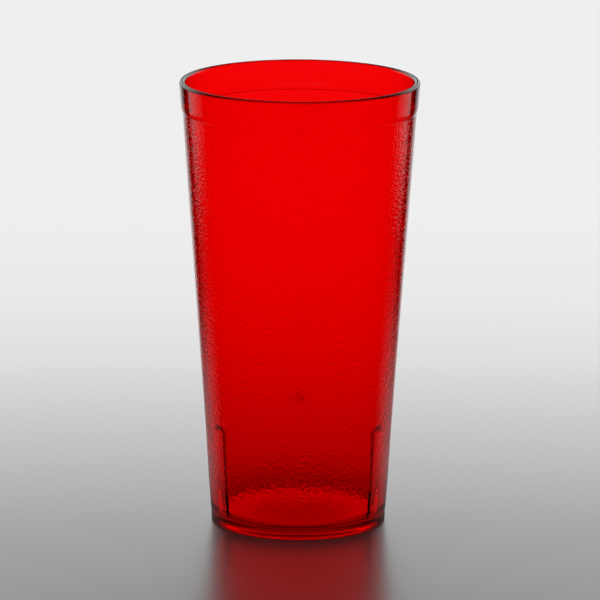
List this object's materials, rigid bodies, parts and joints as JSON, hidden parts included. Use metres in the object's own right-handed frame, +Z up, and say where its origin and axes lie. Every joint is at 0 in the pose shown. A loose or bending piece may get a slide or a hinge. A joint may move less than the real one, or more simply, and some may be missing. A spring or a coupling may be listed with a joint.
{
  "type": "plastic tumbler",
  "caption": "Tapered transparent plastic drinking tumbler with a pebbled wall, a smooth drinking band, a recessed foot and inside lugs that keep stacked tumblers apart.",
  "frame": {"origin": "centre of the plane that the foot ring rests on", "axes": "+Z up through the mouth, along the axis of the taper; +Y away from the picture's camera, through the middle of one stacking lug; +X to the right in the picture"},
  "size_m": [0.0876, 0.0876, 0.164],
  "materials": {
    "red_plastic": "gloss"
  },
  "bodies": {
    "root": {"tumbler": "red_plastic"}
  },
  "joints": []
}
